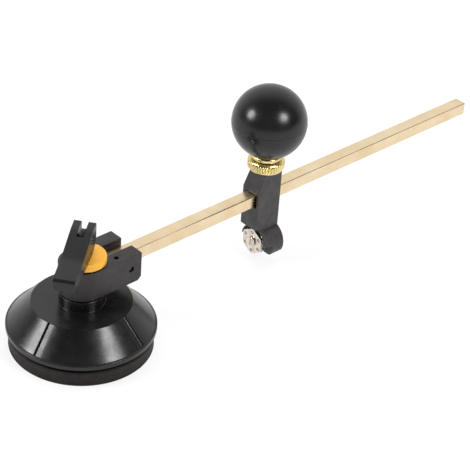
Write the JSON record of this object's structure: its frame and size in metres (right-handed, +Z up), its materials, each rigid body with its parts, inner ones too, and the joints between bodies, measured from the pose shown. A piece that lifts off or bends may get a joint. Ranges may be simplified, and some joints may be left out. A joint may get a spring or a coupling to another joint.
{
  "type": "circle cutter",
  "caption": "Suction-cup circle cutter for glass: a square beam swings round a locking cup and carries a clamped carriage with a ball grip and a turret of cutting wheels.",
  "frame": {"origin": "on the pivot axis, at the underside of the suction pad", "axes": "+Z up along the pivot axis, +X along the beam from the pivot outwards, +Y across the beam"},
  "size_m": [0.266, 0.0634, 0.0879],
  "materials": {
    "gloss_black": "glossy moulded black plastic",
    "satin_black": "satin moulded black plastic",
    "cast_black": "black painted casting",
    "rubber": "matt brown-black rubber",
    "yellow": "smooth yellow plastic",
    "brass": "bright drawn brass",
    "steel": "plain steel",
    "nickel": "nickel-plated",
    "carbide": "ground tool steel"
  },
  "bodies": {
    "base": {"base_housing": "gloss_black", "suction_pad": "rubber", "retaining_cap": "yellow", "swivel_washer": "satin_black"},
    "stem": {"pull_stem": "satin_black", "lever_pin": "steel"},
    "lever": {"lever": "satin_black"},
    "head": {"swivel_head": "satin_black", "beam": "brass", "beam_pin": "steel"},
    "carriage": {"carriage_body": "cast_black", "turret_screw": "nickel", "turret_washer": "steel"},
    "clamp_shoe": {"clamp_shoe": "brass"},
    "clamp_screw": {"clamp_stud": "steel", "clamp_nut": "brass"},
    "grip": {"ball_knob": "gloss_black", "ball_ferrule": "brass"},
    "turret": {"turret_disc": "nickel", "wheel_axle_1": "steel", "wheel_axle_2": "steel", "wheel_axle_3": "steel", "wheel_axle_4": "steel", "wheel_axle_5": "steel", "wheel_axle_6": "steel"},
    "wheel_1": {"cutting_wheel_1": "carbide"},
    "wheel_2": {"cutting_wheel_2": "carbide"},
    "wheel_3": {"cutting_wheel_3": "carbide"},
    "wheel_4": {"cutting_wheel_4": "carbide"},
    "wheel_5": {"cutting_wheel_5": "carbide"},
    "wheel_6": {"cutting_wheel_6": "carbide"}
  },
  "joints": [
    {"name": "stem_slide", "type": "slide", "parent": "base", "child": "stem", "axis": [0, 0, 1], "range_m": [-0.0017, 0]},
    {"name": "lever_flip", "type": "hinge", "parent": "stem", "child": "lever", "pos_m": [0, 0, 0.0527], "axis": [-0.6088, 0.7934, 0], "range_deg": [0, 90]},
    {"name": "head_swivel", "type": "hinge", "parent": "base", "child": "head", "pos_m": [0, 0, 0.0346], "axis": [0, 0, 1], "continuous": true},
    {"name": "carriage_slide", "type": "slide", "parent": "head", "child": "carriage", "axis": [1, 0, 0], "range_m": [-0.063, 0.125]},
    {"name": "clamp_turn", "type": "hinge", "parent": "clamp_shoe", "child": "clamp_screw", "pos_m": [0.1022, 0, 0.0507], "axis": [0, 0, 1], "range_deg": [0, 360]},
    {"name": "shoe_lift", "type": "slide", "parent": "carriage", "child": "clamp_shoe", "axis": [0, 0, 1], "range_m": [0, 0.0008]},
    {"name": "grip_spin", "type": "hinge", "parent": "clamp_screw", "child": "grip", "pos_m": [0.1022, 0, 0.071], "axis": [0, 0, 1], "continuous": true},
    {"name": "turret_index", "type": "hinge", "parent": "carriage", "child": "turret", "pos_m": [0.0986, 0, 0.0109], "axis": [1, 0, 0], "continuous": true},
    {"name": "wheel_1_roll", "type": "hinge", "parent": "turret", "child": "wheel_1", "pos_m": [0.0986, 0, 0.00615], "axis": [1, 0, 0], "continuous": true},
    {"name": "wheel_2_roll", "type": "hinge", "parent": "turret", "child": "wheel_2", "pos_m": [0.0986, 0.00411, 0.00852], "axis": [1, 0, 0], "continuous": true},
    {"name": "wheel_3_roll", "type": "hinge", "parent": "turret", "child": "wheel_3", "pos_m": [0.0986, 0.00411, 0.01328], "axis": [1, 0, 0], "continuous": true},
    {"name": "wheel_4_roll", "type": "hinge", "parent": "turret", "child": "wheel_4", "pos_m": [0.0986, 0, 0.01565], "axis": [1, 0, 0], "continuous": true},
    {"name": "wheel_5_roll", "type": "hinge", "parent": "turret", "child": "wheel_5", "pos_m": [0.0986, -0.00411, 0.01328], "axis": [1, 0, 0], "continuous": true},
    {"name": "wheel_6_roll", "type": "hinge", "parent": "turret", "child": "wheel_6", "pos_m": [0.0986, -0.00411, 0.00852], "axis": [1, 0, 0], "continuous": true}
  ],
  "couplings": [
    {"joint": "stem_slide", "follows": "lever_flip", "m_per_rad": -0.0010823},
    {"joint": "clamp_turn", "follows": "shoe_lift", "rad_per_m": 7854}
  ]
}
